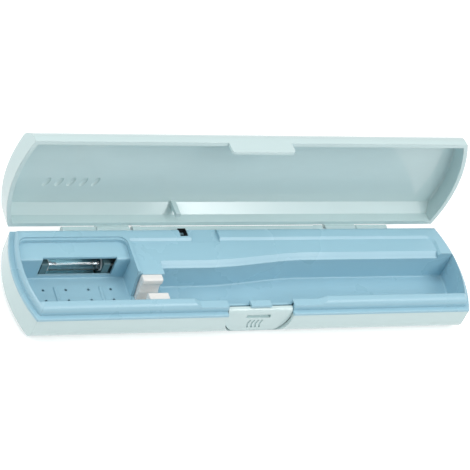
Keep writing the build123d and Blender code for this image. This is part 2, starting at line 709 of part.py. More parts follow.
with BuildPart() as inner_tray:
    # Flange and lip, hollow underneath
    add(case_form(0, RIM_Z - FLANGE, RIM_Z, 0, 0))
    fillet(inner_tray.faces().sort_by(Axis.Z)[-1].edges(), FLANGE_ROUND)
    add(case_form(LIP_INSET, RIM_Z - FLANGE, LEDGE_Z, 0, 0))
    fillet(inner_tray.faces().sort_by(Axis.Z)[-1].edges(), LIP_ROUND)
    add(
        case_form(LIP_INSET + LIP_SKIN, RIM_Z - FLANGE, HOLLOW_Z, 0, 0),
        mode=Mode.SUBTRACT,
    )
    add(tray_bowls())
    add(lamp_roof(-TRAY_WALL, 0))

    # Bosses for the screws
    for x, y in SCREW_PLACES:
        with BuildSketch(Plane.XY.offset(PAD_TOP_Z + PAD_GAP)):
            with Locations((x, y)):
                Circle(BOSS_R)
        extrude(amount=(HOLLOW_Z if y > 0 else FLOOR_Z) - PAD_TOP_Z)

    # The shelf over the cells and the board lies below the ledge, with a slope up to it
    for rises in (0, 2):
        with BuildSketch(Plane.XY.offset(SHELF_Z + rises * SHELF_DROP)):
            add(shelf_plan(rises * SHELF_SLOPE))
    loft(ruled=True, mode=Mode.SUBTRACT)

    # Chamber, clip pocket and trough
    add(chamber_hollow(), mode=Mode.SUBTRACT)
    roof_edges = inner_tray.edges().filter_by(Axis.X)
    roof_edges = roof_edges.filter_by(lambda edge: abs(edge.center().Y - LAMP_WALL_Y) < PAD_GAP)
    fillet(roof_edges.sort_by(Axis.Z)[-1], ROOF_ROUND)
    box_between(
        (CLIP_POCKET_X, POCKET_FRONT_Y, FLOOR_Z),
        (TROUGH_LEFT_X + POCKET_LAP, CLIP_POCKET_BACK_Y, LEDGE_Z + 1),
        Mode.SUBTRACT,
    )
    add(tapered_trough(0, FLOOR_Z, LEDGE_Z + 1, FLOOR_COVE), mode=Mode.SUBTRACT)
    add(trough_band(), mode=Mode.SUBTRACT)

    # Raised bead beside the chamber's right wall
    box_between(
        (CHAMBER_RIGHT_X, NOTCH_TOP_Y, SHELF_Z - BEAD_HEIGHT),
        (CHAMBER_RIGHT_X + BEAD_WIDTH, SHELF_BACK_Y, SHELF_Z + BEAD_HEIGHT),
    )

    # Notch in the partition where the brush's neck passes
    with BuildSketch(Plane.YZ.offset(CHAMBER_RIGHT_X - 1)):
        with BuildLine():
            Polyline(
                (NOTCH_TOP_Y, LEDGE_Z + 1),
                (NOTCH_TOP_Y, SHELF_Z + BEAD_HEIGHT),
                (NOTCH_FOOT_Y, NOTCH_Z),
                (POCKET_FRONT_Y, NOTCH_Z),
                (POCKET_FRONT_Y, LEDGE_Z + 1),
                close=True,
            )
        make_face()
    extrude(amount=PARTITION + 2, mode=Mode.SUBTRACT)

    # Lamp window
    box_between(
        (WINDOW_X[0], LAMP_WALL_Y - 1, WINDOW_SILL_Z),
        (WINDOW_X[1], LAMP_WALL_Y + WINDOW_CUT_BACK, ROOF_FRONT_Z + 1),
        Mode.SUBTRACT,
    )

    # Drain holes and ribs on the chamber floor
    with BuildSketch(Plane.XY.offset(FLOOR_Z - TRAY_WALL)):
        with Locations(DRAIN_CENTRE):
            with GridLocations(DRAIN_PITCH_X, DRAIN_PITCH_Y, 4, 2):
                Circle(DRAIN_HOLE_R)
    extrude(amount=TRAY_WALL, mode=Mode.SUBTRACT)
    half_width, rib_length, rib_height = FLOOR_RIB
    with BuildSketch(Plane.XZ.offset(-DRAIN_CENTRE[1])):
        for x in FLOOR_RIB_X:
            with Locations((x, FLOOR_Z)):
                Ellipse(half_width, rib_height)
    extrude(amount=rib_length / 2, both=True)

    # Low stretch of the lip, then the opening for the button under its tab
    low_lip_cut = POCKET_FRONT_Y + LIP_CUT_SPARE
    with BuildSketch(Plane.XZ.offset(HALF_WIDTH)):
        with BuildLine():
            Polyline(
                (0, LEDGE_Z + 1),
                (0, RIM_Z + LOW_LIP_HEIGHT),
                (LOW_LIP_HALF, RIM_Z + LOW_LIP_HEIGHT),
                (LOW_LIP_HALF + LOW_LIP_RAMP, LEDGE_Z),
                (LOW_LIP_HALF + LOW_LIP_RAMP, LEDGE_Z + 1),
                close=True,
            )
        make_face()
        mirror(about=Plane.YZ)
    extrude(amount=-(HALF_WIDTH + low_lip_cut), mode=Mode.SUBTRACT)
    button_room = BUTTON_HALF + BUTTON_GAP
    box_between(
        (-button_room, -HALF_WIDTH - 1, RIM_Z - FLANGE - 1),
        (button_room, POCKET_FRONT_Y - TRAY_WALL, LEDGE_Z + 1),
        Mode.SUBTRACT,
    )
    box_between(
        (-button_room, -HALF_WIDTH - 1, CUT_WALL_Z),
        (button_room, low_lip_cut, LEDGE_Z + 1),
        Mode.SUBTRACT,
    )
    box_between(
        (-TAB_HALF, POCKET_FRONT_Y - TRAY_WALL, CUT_WALL_Z - PAD_GAP),
        (TAB_HALF, POCKET_FRONT_Y, TAB_Z[1]),
    )
    box_between((-TAB_HALF, TAB_FRONT_Y, TAB_Z[0]), (TAB_HALF, POCKET_FRONT_Y, TAB_Z[1]))

    # Recess in the ledge, and the hole for the lid's post inside a short sleeve
    box_between(
        (RECESS_X[0], SHELF_BACK_Y - RECESS_DEPTH / 2, LEDGE_Z - RECESS_DEPTH),
        (RECESS_X[1], HALF_WIDTH, LEDGE_Z + 1),
        Mode.SUBTRACT,
    )
    half_hole = POST_HOLE_X / 2
    box_between(
        (POST_X - half_hole, POST_HOLE_Y[0], HOLLOW_Z - 1),
        (POST_X + half_hole, POST_HOLE_Y[1], LEDGE_Z + 1),
        Mode.SUBTRACT,
    )

    # Clearance for the hinge knuckles and pilot holes for the screws
    for span in both_sides((EAR_X[0] - KNUCKLE_GAP, BASE_KNUCKLE_X[1] + KNUCKLE_GAP)):
        with BuildSketch(Plane.YZ.offset(span[0])):
            ring_section(KNUCKLE_R + KNUCKLE_GAP)
        extrude(amount=span[1] - span[0], mode=Mode.SUBTRACT)
    for x, y in SCREW_PLACES:
        with BuildSketch(Plane.XY):
            with Locations((x, y)):
                Circle(SCREW_R)
        extrude(amount=SCREW_RECESS + SCREW_LENGTH + PILOT_SPARE, mode=Mode.SUBTRACT)
inner_tray.part.label = "inner_tray"
export_step(inner_tray.part, "parts/inner_tray.step")


# Lid: a shallow shell with a tongue over the button, a catch that drops into
# the button's slot, the interlock post and two hinge knuckles
def tongue_outline():
    """The tongue's outline: the button's outline cut off square above the grip."""
    with BuildSketch() as outline:
        add(button_outline(-BUTTON_GAP, LID_Z + LID_WALL))
        with Locations((0, TONGUE_END_Z - BASE_DEPTH)):
            Rectangle(CASE_LENGTH, 2 * BASE_DEPTH, mode=Mode.SUBTRACT)
        fillet(outline.vertices().group_by(Axis.Y)[0], TONGUE_CORNER_R)
    return outline.sketch


with BuildPart() as closed_lid:
    add(lid_form(0, LID_Z + LID_HEIGHT, LID_SIDE_ROUND, LID_END_ROUND))
    add(
        lid_form(LID_WALL, LID_ROOF_Z, LID_FACET, LID_INNER_END_ROUND, chamfer),
        mode=Mode.SUBTRACT,
    )

    # Tongue in line with the front wall, and its catch
    with BuildSketch(Plane.XZ.offset(HALF_WIDTH)):
        add(tongue_outline())
    extrude(amount=-TONGUE_THICKNESS)
    tongue_back_y = -HALF_WIDTH + TONGUE_THICKNESS
    with BuildSketch(Plane.YZ.offset(-TAB_HALF)):
        with BuildLine():
            Polyline(
                (tongue_back_y, SLOT_Z[1] - CATCH_GAP),
                (tongue_back_y + CATCH_DEPTH, SLOT_Z[1] - CATCH_GAP),
                (tongue_back_y + CATCH_DEPTH, SLOT_Z[0] + CATCH_GAP + CATCH_SLOPE),
                (tongue_back_y, SLOT_Z[0] + CATCH_GAP),
                close=True,
            )
        make_face()
    extrude(amount=2 * TAB_HALF)

    # Interlock post
    box_between(
        (POST_X - POST_SIZE[0] / 2, POST_Y - POST_SIZE[1] / 2, POST_TIP_Z),
        (POST_X + POST_SIZE[0] / 2, POST_Y + POST_SIZE[1] / 2, LID_ROOF_Z + LID_TOP / 2),
    )

    # Hinge knuckles with their webs, clearance for the base's, and the bores
    for span in both_sides(LID_KNUCKLE_X):
        with BuildSketch(Plane.YZ.offset(span[0])):
            ring_section(KNUCKLE_R)
            with BuildLine():
                Polyline(
                    (HALF_WIDTH - LID_WALL, LID_Z),
                    (HALF_WIDTH - SPINE_GAP, LID_Z),
                    (HINGE_Y - KNUCKLE_GAP, HINGE_Z),
                    (HINGE_Y + KNUCKLE_R, HINGE_Z),
                    (HALF_WIDTH - LID_WALL, LID_Z + WEB_REACH * KNUCKLE_R),
                    close=True,
                )
            make_face()
        extrude(amount=span[1] - span[0])
        with BuildSketch(Plane.YZ.offset(span[0])):
            ring_section(PIN_R + PIN_RUNNING_GAP)
        extrude(amount=span[1] - span[0], mode=Mode.SUBTRACT)
    for inner, outer in ((EAR_X[0] - KNUCKLE_GAP, LID_KNUCKLE_X[0]), BASE_KNUCKLE_SIDES):
        for span in both_sides((inner, outer)):
            with BuildSketch(Plane.YZ.offset(span[0])):
                ring_section(KNUCKLE_R + KNUCKLE_GAP)
            extrude(amount=span[1] - span[0], mode=Mode.SUBTRACT)

    # Slanted oval marks, sunk in the lid's inner face
    for index in range(MARK_COUNT):
        with Locations(Location((MARK_X + index * MARK_PITCH, MARK_Y, LID_ROOF_Z), MARK_ANGLE)):
            add(mark_form(), mode=Mode.SUBTRACT)

with BuildPart() as lid_shell:
    add(swing_open(closed_lid.part))
lid_shell.part.label = "lid_shell"
export_step(lid_shell.part, "parts/lid_shell.step")


# Hinge pins, one on each side, pressed into the base and free in the lid
for name, span in zip(("right", "left"), both_sides((EAR_X[0], BASE_KNUCKLE_X[1] - PIN_COVER))):
    with BuildPart() as hinge_pin:
        with BuildSketch(Plane.YZ.offset(span[0])):
            ring_section(PIN_R)
        extrude(amount=span[1] - span[0])
        fillet(hinge_pin.edges().filter_by(GeomType.CIRCLE), PIN_END_ROUND)
    hinge_pin.part.label = f"hinge_pin_{name}"
    export_step(hinge_pin.part, f"parts/hinge_pin_{name}.step")


# Release button: slides inwards to free the lid's catch. Its flat face lies behind
# the tongue, and meets the casing's rounding at its foot.
BUTTON_SETBACK = TONGUE_THICKNESS + TONGUE_GAP
BUTTON_FACE_Y = -HALF_WIDTH + BUTTON_SETBACK
BUTTON_ARC_R = BUTTON_BACK_Y - BUTTON_FACE_Y

with BuildPart() as release_button:
    with BuildSketch(Plane.XZ.offset(HALF_WIDTH)):
        add(button_outline(0, BUTTON_TOP_Z))
    extrude(amount=-(HALF_WIDTH + BUTTON_BACK_Y))
    # Trim to the casing's rounding, cut the flat face and round its top edge
    add(case_form(0, 0, 2 * RIM_Z, BASE_SIDE_ROUND, BASE_END_ROUND), mode=Mode.INTERSECT)
    with BuildSketch(Plane.YZ.offset(-CASE_WIDTH)):
        with BuildLine():
            knee = (BUTTON_FACE_Y, BUTTON_TOP_Z - BUTTON_ARC_R)
            RadiusArc(knee, (BUTTON_BACK_Y, BUTTON_TOP_Z), BUTTON_ARC_R)
            Polyline(
                (BUTTON_BACK_Y, BUTTON_TOP_Z),
                (BUTTON_BACK_Y, LEDGE_Z),
                (-CASE_WIDTH, LEDGE_Z),
                (-CASE_WIDTH, 0),
                (BUTTON_FACE_Y, 0),
                knee,
            )
        make_face()
    extrude(amount=2 * CASE_WIDTH, mode=Mode.SUBTRACT)
    # Hollow behind the grip, for the spring
    hollow_inset = BUTTON_SETBACK + BUTTON_SKIN
    add(base_form(hollow_inset, hollow_inset, BUTTON_HOLLOW_Z), mode=Mode.SUBTRACT)
    # Slot for the catch
    box_between(
        (-SLOT_HALF, BUTTON_FACE_Y - 1, SLOT_Z[0]),
        (SLOT_HALF, BUTTON_FACE_Y + SLOT_DEPTH, SLOT_Z[1]),
        Mode.SUBTRACT,
    )
    # Ears bear on the inside of the casing's wall and keep the button in
    for side in (-1, 1):
        inner_x = side * (BUTTON_HALF - EAR_REACH)
        outer_x = side * (BUTTON_HALF + EAR_REACH)
        box_between(
            (min(inner_x, outer_x), -HALF_WIDTH + BASE_WALL + EAR_PLAY, EAR_SPAN_Z[0]),
            (max(inner_x, outer_x), BUTTON_BACK_Y, EAR_SPAN_Z[1]),
        )
    # Curved grip grooves
    for index in range(GRIP_COUNT):
        x = (index - (GRIP_COUNT - 1) / 2) * GRIP_PITCH
        with BuildSketch(Plane.XZ.offset(HALF_WIDTH)):
            with BuildLine():
                grip = RadiusArc((x, GRIP_Z[0]), (x, GRIP_Z[1]), -GRIP_ARC_R)
            trace(grip, GRIP_WIDTH)
        extrude(amount=-(BUTTON_SETBACK + GRIP_DEPTH), mode=Mode.SUBTRACT)
release_button.part.label = "release_button"
export_step(release_button.part, "parts/release_button.step")


# Leaf spring behind the button, in its pressed shape: its ends bear on the tray
LEAF_FRONT_Y = -HALF_WIDTH + BUTTON_SETBACK + BUTTON_SKIN + BUTTON_TRAVEL + SPRING_GAP
LEAF_BACK_Y = POCKET_FRONT_Y - TRAY_WALL + SPRING_GAP / 2

with BuildPart() as button_spring:
    with BuildSketch(Plane.XY.offset(SPRING_Z[0])):
        with BuildLine():
            leaf = Polyline(
                (-SPRING_HALF, LEAF_BACK_Y - SPRING_CURL),
                (-SPRING_HALF + SPRING_FOOT, LEAF_BACK_Y),
                (-SPRING_FLAT, LEAF_FRONT_Y),
                (SPRING_FLAT, LEAF_FRONT_Y),
                (SPRING_HALF - SPRING_FOOT, LEAF_BACK_Y),
                (SPRING_HALF, LEAF_BACK_Y - SPRING_CURL),
            )
        trace(leaf, SPRING_SHEET)
    extrude(amount=SPRING_Z[1] - SPRING_Z[0])
button_spring.part.label = "button_spring"
export_step(button_spring.part, "parts/button_spring.step")


# Neck clip: a white block with a snap channel for the brush's neck
with BuildPart() as neck_clip:
    with BuildSketch(Plane.YZ.offset(CLIP_POCKET_X + CLIP_GAP)):
        with BuildLine():
            Polyline(
                (POCKET_FRONT_Y + CLIP_GAP, FLOOR_Z),
                (CLIP_POCKET_BACK_Y - CLIP_GAP, FLOOR_Z),
                (CLIP_POCKET_BACK_Y - CLIP_GAP, CLIP_TOP_Z),
                (POCKET_FRONT_Y + CLIP_GAP, CLIP_TOP_Z),
                close=True,
            )
        make_face()
        with Locations((NECK_Y, NECK_Z)):
            Circle(NECK_R, mode=Mode.SUBTRACT)
        with Locations((NECK_Y, NECK_Z)):
            Rectangle(
                NECK_MOUTH,
                2 * NECK_R,
                align=(Align.CENTER, Align.MIN),
                mode=Mode.SUBTRACT,
            )
        with Locations((NECK_Y, (NECK_Z + NECK_FLOOR_Z) / 2)):
            Rectangle(NECK_MOUTH, NECK_Z - NECK_FLOOR_Z, mode=Mode.SUBTRACT)
    extrude(amount=CLIP_WIDTH)
    long_edges = neck_clip.edges().filter_by(Axis.X).group_by(Axis.Z)[-1]
    fillet(long_edges, CLIP_EDGE_ROUND)
neck_clip.part.label = "neck_clip"
export_step(neck_clip.part, "parts/neck_clip.step")


# Lamp: a quartz tube between two rubber holders, in front of a folded reflector
with BuildPart() as uv_lamp:
    with BuildSketch(Plane.YZ.offset(LAMP_X[0])):
        with Locations((LAMP_Y, LAMP_Z)):
            Circle(LAMP_R)
    extrude(amount=LAMP_X[1] - LAMP_X[0])
    fillet(uv_lamp.edges().filter_by(GeomType.CIRCLE), LAMP_END_ROUND)
uv_lamp.part.label = "uv_lamp"
export_step(uv_lamp.part, "parts/uv_lamp.step")

for name, end_x, side in (("left", LAMP_X[0], -1), ("right", LAMP_X[1], 1)):
    with BuildPart() as lamp_holder:
        holder_x = end_x + side * (HOLDER_LENGTH / 2 - HOLDER_LAP)
        with BuildSketch(Plane.YZ.offset(holder_x - HOLDER_LENGTH / 2)) as holder_section:
            with Locations((LAMP_Y, (LAMP_Z + HOLDER_HALF + BASE_FLOOR) / 2)):
                RectangleRounded(2 * HOLDER_HALF, LAMP_Z + HOLDER_HALF - BASE_FLOOR, HOLDER_ROUND)
        extrude(amount=HOLDER_LENGTH)
        add(uv_lamp.part, mode=Mode.SUBTRACT)
    lamp_holder.part.label = f"lamp_holder_{name}"
    export_step(lamp_holder.part, f"parts/lamp_holder_{name}.step")

with BuildPart() as lamp_reflector:
    with BuildSketch(Plane.YZ.offset(LAMP_X[0] + HOLDER_LENGTH)):
        with BuildLine() as fold:
            half = REFLECTOR_R
            front_y = LAMP_Y - REFLECTOR_REACH[0]
            bend_y = LAMP_Y + REFLECTOR_REACH[1]
            Line((front_y, LAMP_Z + half), (bend_y, LAMP_Z + half))
            ThreePointArc(
                (bend_y, LAMP_Z + half), (bend_y + half, LAMP_Z), (bend_y, LAMP_Z - half)
            )
            Line((bend_y, LAMP_Z - half), (front_y, LAMP_Z - half))
        trace(fold.line, REFLECTOR_SHEET)
    extrude(amount=LAMP_X[1] - LAMP_X[0] - 2 * HOLDER_LENGTH)
lamp_reflector.part.label = "lamp_reflector"
export_step(lamp_reflector.part, "parts/lamp_reflector.step")


# Circuit board on its posts, with the parts that drive the lamp
with BuildPart() as circuit_board:
    board_size = (BOARD_X[1] - BOARD_X[0], BOARD_Y[1] - BOARD_Y[0])
    board_centre = ((BOARD_X[0] + BOARD_X[1]) / 2, (BOARD_Y[0] + BOARD_Y[1]) / 2)
    with BuildSketch(Plane.XY.offset(BOARD_Z)) as board_plan:
        with Locations(board_centre):
            Rectangle(*board_size)
        fillet(board_plan.vertices(), BOARD_CORNER_R)
    extrude(amount=BOARD_THICKNESS)
circuit_board.part.label = "circuit_board"
export_step(circuit_board.part, "parts/circuit_board.step")

with BuildPart() as transformer:
    core_x, core_y, core_h = TRANSFORMER_SIZE
    with Locations((TRANSFORMER_AT[0], TRANSFORMER_AT[1], BOARD_TOP_Z + core_h / 2)):
        Box(core_x, core_y, core_h)
        Box(core_x - 2 * CORE_LEG, core_y + 1, core_h - 2 * CORE_YOKE, mode=Mode.SUBTRACT)
    with BuildSketch(Plane.YZ.offset(TRANSFORMER_AT[0] - core_x / 2 + WINDING_INSET)):
        with Locations((TRANSFORMER_AT[1], BOARD_TOP_Z + core_h / 2)):
            RectangleRounded(*WINDING_SIZE, WINDING_ROUND)
    extrude(amount=core_x - 2 * WINDING_INSET)
    fillet(transformer.edges().filter_by(Axis.Z).group_by(SortBy.LENGTH)[-1], CORE_ROUND)
transformer.part.label = "transformer"
export_step(transformer.part, "parts/transformer.step")

with BuildPart() as capacitor:
    with BuildSketch(Plane.XY.offset(BOARD_TOP_Z)):
        with Locations(CAPACITOR_AT):
            Circle(CAPACITOR_R)
    extrude(amount=CAPACITOR_HEIGHT)
    fillet(capacitor.edges().filter_by(GeomType.CIRCLE), CAN_ROUND)
capacitor.part.label = "capacitor"
export_step(capacitor.part, "parts/capacitor.step")

with BuildPart() as transistor:
    with BuildSketch(Plane.XY.offset(BOARD_TOP_Z + TRANSISTOR_LEGS)) as can:
        with Locations(TRANSISTOR_AT):
            Circle(TRANSISTOR_R)
        with Locations((TRANSISTOR_AT[0], TRANSISTOR_AT[1] - TRANSISTOR_R)):
            Rectangle(2 * TRANSISTOR_R, 2 * TRANSISTOR_FLAT, mode=Mode.SUBTRACT)
    extrude(amount=2 * TRANSISTOR_R)
    for leg in (-1, 0, 1):
        with BuildSketch(Plane.XY.offset(BOARD_TOP_Z)):
            with Locations((TRANSISTOR_AT[0] + leg * PIN_PITCH, TRANSISTOR_AT[1])):
                Rectangle(LEG_WIDTH, LEG_WIDTH)
        extrude(amount=TRANSISTOR_LEGS + LEG_WIDTH)
transistor.part.label = "transistor"
export_step(transistor.part, "parts/transistor.step")

with BuildPart() as timer_chip:
    chip_x, chip_y, chip_h = TIMER_SIZE
    chip_z = BOARD_TOP_Z + CHIP_LIFT
    with Locations((TIMER_AT[0], TIMER_AT[1], chip_z + chip_h / 2)):
        Box(chip_x, chip_y, chip_h)
    for side in (-1, 1):
        with Locations((TIMER_AT[0], TIMER_AT[1] + side * chip_y / 2, BOARD_TOP_Z + CHIP_LEG[2] / 2)):
            with GridLocations(PIN_PITCH, 1, CHIP_LEGS, 1):
                Box(*CHIP_LEG)
timer_chip.part.label = "timer_chip"
export_step(timer_chip.part, "parts/timer_chip.step")


# Interlock switch: a housing on the board with a plunger that the lid's post meets
PLUNGER_TOP_Z = POST_TIP_Z - POST_PLUNGER_GAP

with BuildPart() as interlock_switch:
    low_z = SWITCH_TOP_Z - SWITCH_SIZE[2]
    with BuildSketch(Plane.XY.offset(low_z)) as switch_plan:
        with Locations((POST_X, POST_Y)):
            Rectangle(SWITCH_SIZE[0], SWITCH_SIZE[1])
        fillet(switch_plan.vertices(), SWITCH_CORNER_R)
    extrude(amount=SWITCH_SIZE[2])
    with BuildSketch(Plane.XY.offset(BOARD_TOP_Z)):
        with Locations((POST_X, POST_Y)):
            with GridLocations(*SWITCH_LEG_PITCH, 2, 2):
                Rectangle(*SWITCH_LEG)
    extrude(amount=low_z - BOARD_TOP_Z)
    with BuildSketch(Plane.XY.offset(SWITCH_TOP_Z)):
        with Locations((POST_X, POST_Y)):
            Circle(PLUNGER_R + PLUNGER_GAP)
    extrude(amount=-PLUNGER_WELL, mode=Mode.SUBTRACT)
interlock_switch.part.label = "interlock_switch"
export_step(interlock_switch.part, "parts/interlock_switch.step")

with BuildPart() as interlock_plunger:
    with BuildSketch(Plane.XY.offset(PLUNGER_TOP_Z)):
        with Locations((POST_X, POST_Y)):
            Circle(PLUNGER_R)
    extrude(amount=-(PLUNGER_TOP_Z - SWITCH_TOP_Z + PLUNGER_DEPTH))
    fillet(interlock_plunger.edges().filter_by(GeomType.CIRCLE).group_by(Axis.Z)[-1], PLUNGER_ROUND)
interlock_plunger.part.label = "interlock_plunger"
export_step(interlock_plunger.part, "parts/interlock_plunger.step")

with BuildPart() as plunger_spring:
    well_z = SWITCH_TOP_Z - PLUNGER_WELL
    spring_height = PLUNGER_WELL - PLUNGER_DEPTH
    with BuildLine():
        coil = Helix(
            pitch=spring_height / PLUNGER_TURNS,
            height=spring_height - PLUNGER_WIRE_R * 2,
            radius=PLUNGER_R - 2 * PLUNGER_WIRE_R,
            center=(POST_X, POST_Y, well_z + PLUNGER_WIRE_R),
        )
    with BuildSketch(Plane(origin=coil @ 0, z_dir=coil % 0)):
        Circle(PLUNGER_WIRE_R)
    sweep(is_frenet=True)
plunger_spring.part.label = "plunger_spring"
export_step(plunger_spring.part, "parts/plunger_spring.step")


# Two cells end to end, their contacts, and the door below them
for index, name in enumerate(("left", "right")):
    with BuildPart() as cell:
        start_x = CELL_START_X + index * (CELL_LENGTH + CELL_SPACE)
        with BuildSketch(Plane.YZ.offset(start_x)):
            with Locations((CELL_Y, CELL_Z)):
                Circle(CELL_R)
        extrude(amount=CELL_LENGTH - CELL_NUB[1])
        fillet(cell.edges().filter_by(GeomType.CIRCLE), CAN_ROUND)
        with BuildSketch(Plane.YZ.offset(start_x + CELL_LENGTH)):
            with Locations((CELL_Y, CELL_Z)):
                Circle(CELL_NUB[0])
        extrude(amount=-2 * CELL_NUB[1])
    cell.part.label = f"battery_{name}"
    export_step(cell.part, f"parts/battery_{name}.step")

with BuildPart() as spring_contact:
    plate_x = DOOR_LEFT_X + BAY_WALL
    with BuildSketch(Plane.YZ.offset(plate_x)):
        with Locations((CELL_Y, CELL_Z + CONTACT_LIFT)):
            RectangleRounded(*CONTACT_SIZE, CONTACT_CORNER_R)
    extrude(amount=CONTACT_SHEET)
    with BuildLine():
        cone = Helix(
            pitch=CONTACT_PITCH,
            height=CELL_START_X - plate_x - CONTACT_SHEET - CONTACT_WIRE_R * 2,
            radius=CONTACT_CONE[0],
            center=(plate_x + CONTACT_SHEET + CONTACT_WIRE_R / 2, CELL_Y, CELL_Z),
            direction=(1, 0, 0),
            cone_angle=CONTACT_CONE[1],
        )
    with BuildSketch(Plane(origin=cone @ 0, z_dir=cone % 0)):
        Circle(CONTACT_WIRE_R)
    sweep(is_frenet=True)
spring_contact.part.label = "spring_contact"
export_step(spring_contact.part, "parts/spring_contact.step")

with BuildPart() as plate_contact:
    with BuildSketch(Plane.YZ.offset(CELLS_END_X + CELL_SPACE)):
        with Locations((CELL_Y, CELL_Z + CONTACT_LIFT)):
            RectangleRounded(*CONTACT_SIZE, CONTACT_CORNER_R)
    extrude(amount=CONTACT_SHEET)
plate_contact.part.label = "plate_contact"
export_step(plate_contact.part, "parts/plate_contact.step")

with BuildPart() as battery_door:
    with BuildSketch(Plane.XZ.offset(-CELL_Y - BAY_HALF - DOOR_TONGUE)):
        with BuildLine():
            Polyline(
                (DOOR_LEFT_X + DOOR_GAP, 0),
                (CASE_LENGTH / 2, 0),
                (CASE_LENGTH / 2, DOOR_THICKNESS),
                (DOOR_LEFT_X + DOOR_GAP, DOOR_THICKNESS),
                close=True,
            )
        make_face()
    extrude(amount=2 * (BAY_HALF + DOOR_TONGUE))
    add(base_form(0, 0, BASE_TOP_Z), mode=Mode.INTERSECT)
    # Sides: full width only at the tongues, with the running gap all round
    for side in (-1, 1):
        edge_y = CELL_Y + side * (BAY_HALF - DOOR_GAP)
        far_y = CELL_Y + side * CASE_WIDTH
        box_between(
            (DOOR_LEFT_X, min(edge_y, far_y), -1),
            (CASE_LENGTH, max(edge_y, far_y), DOOR_LEDGE_Z + DOOR_GAP),
            Mode.SUBTRACT,
        )
        tip_y = edge_y + side * DOOR_TONGUE
        box_between(
            (DOOR_LEFT_X, min(tip_y, far_y), -1),
            (CASE_LENGTH, max(tip_y, far_y), RIM_Z),
            Mode.SUBTRACT,
        )
    # Thumb grooves
    for index in range(DOOR_GROOVES):
        with Locations((DOOR_LEFT_X + GROOVE_START + GROOVE_PITCH * index, CELL_Y, 0)):
            Box(*GROOVE_SIZE, mode=Mode.SUBTRACT)
battery_door.part.label = "battery_door"
export_step(battery_door.part, "parts/battery_door.step")


# Screws that hold the tray, driven from below
with BuildPart() as tray_screws:
    for x, y in SCREW_PLACES:
        with BuildSketch(Plane.XY.offset(SCREW_RECESS)):
            with Locations((x, y)):
                Circle(SCREW_HEAD_R)
        extrude(amount=-SCREW_HEAD_H)
        with BuildSketch(Plane.XY.offset(SCREW_RECESS)):
            with Locations((x, y)):
                Circle(SCREW_R)
        extrude(amount=SCREW_LENGTH)
        for turn in (0, 90):
            with BuildSketch(Plane.XY.offset(SCREW_RECESS - SCREW_HEAD_H)):
                with Locations(Location((x, y, 0), turn)):
                    Rectangle(*SCREW_SLOT)
            extrude(amount=SCREW_SLOT[1], mode=Mode.SUBTRACT)
tray_screws.part.label = "tray_screws"
export_step(tray_screws.part, "parts/tray_screws.step")


# Leads inside the base: two from the lamp to the board, two from the cells
def lead(points):
    """A round lead along straight runs joined by tangent arcs."""
    with BuildPart() as wire:
        with BuildLine() as route:
            FilletPolyline(*points, radius=LEAD_BEND)
        with BuildSketch(Plane(origin=route.line @ 0, z_dir=route.line % 0)):
            Circle(LEAD_R)
        sweep()
    return wire.part


with BuildPart() as lamp_leads:
    right_end = LAMP_X[1] - HOLDER_LAP + HOLDER_LENGTH
    left_end = LAMP_X[0] + HOLDER_LAP - HOLDER_LENGTH
    pad_x = BOARD_X[0] + PAD_INSET
    pad_z = BOARD_TOP_Z + LEAD_R
    front_pad_y = BOARD_Y[0] + PAD_INSET
    back_pad_y = BOARD_Y[1] - LEAD_R
    add(
        lead(
            [
                (right_end, LAMP_Y - LEAD_SIDE, LAMP_Z + LEAD_R),
                (right_end + LEAD_OUT, LAMP_Y - LEAD_SIDE, LAMP_Z + LEAD_R),
                (pad_x - LEAD_SIDE, front_pad_y, pad_z),
                (pad_x + LEAD_LAP, front_pad_y, pad_z),
            ]
        )
    )
    add(
        lead(
            [
                (left_end, LAMP_Y + LEAD_SIDE, LAMP_Z - LEAD_RISE),
                (left_end - LEAD_OUT, LAMP_Y + LEAD_SIDE, LAMP_Z - LEAD_RISE),
                (left_end - LEAD_OUT, back_pad_y, pad_z),
                (pad_x + LEAD_LAP, back_pad_y, pad_z),
            ]
        )
    )
lamp_leads.part.label = "lamp_leads"
export_step(lamp_leads.part, "parts/lamp_leads.step")

with BuildPart() as battery_leads:
    pad_x = BOARD_X[1] - PAD_INSET
    front_y = CELL_Y - LEAD_SIDE
    add(
        lead(
            [
                (plate_x, front_y, CELL_Z + LEAD_RISE),
                (plate_x - LEAD_OUT, front_y, CELL_Z + LEAD_RISE),
                (plate_x - LEAD_OUT, front_y, pad_z),
                (pad_x - LEAD_SIDE, front_y, pad_z),
            ]
        )
    )
    far_x = CELLS_END_X + CELL_SPACE + CONTACT_SHEET
    back_y = CELL_Y + LEAD_SIDE
    behind_bay_y = bay_back_y + BAY_WALL + 2 * LEAD_R
    add(
        lead(
            [
                (far_x, back_y, CELL_Z + LEAD_RISE),
                (far_x + LEAD_OUT, back_y, CELL_Z + LEAD_RISE),
                (far_x + LEAD_OUT, behind_bay_y, CELL_Z + LEAD_RISE),
                (pad_x + LEAD_OUT, behind_bay_y, CELL_Z + LEAD_RISE),
                (pad_x + LEAD_R, back_pad_y, pad_z),
                (pad_x - LEAD_SIDE, back_pad_y, pad_z),
            ]
        )
    )
battery_leads.part.label = "battery_leads"
export_step(battery_leads.part, "parts/battery_leads.step")
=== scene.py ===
import json
from math import cos, pi, radians, sin, sqrt

import bmesh
import bpy
from mathutils import Matrix, Vector


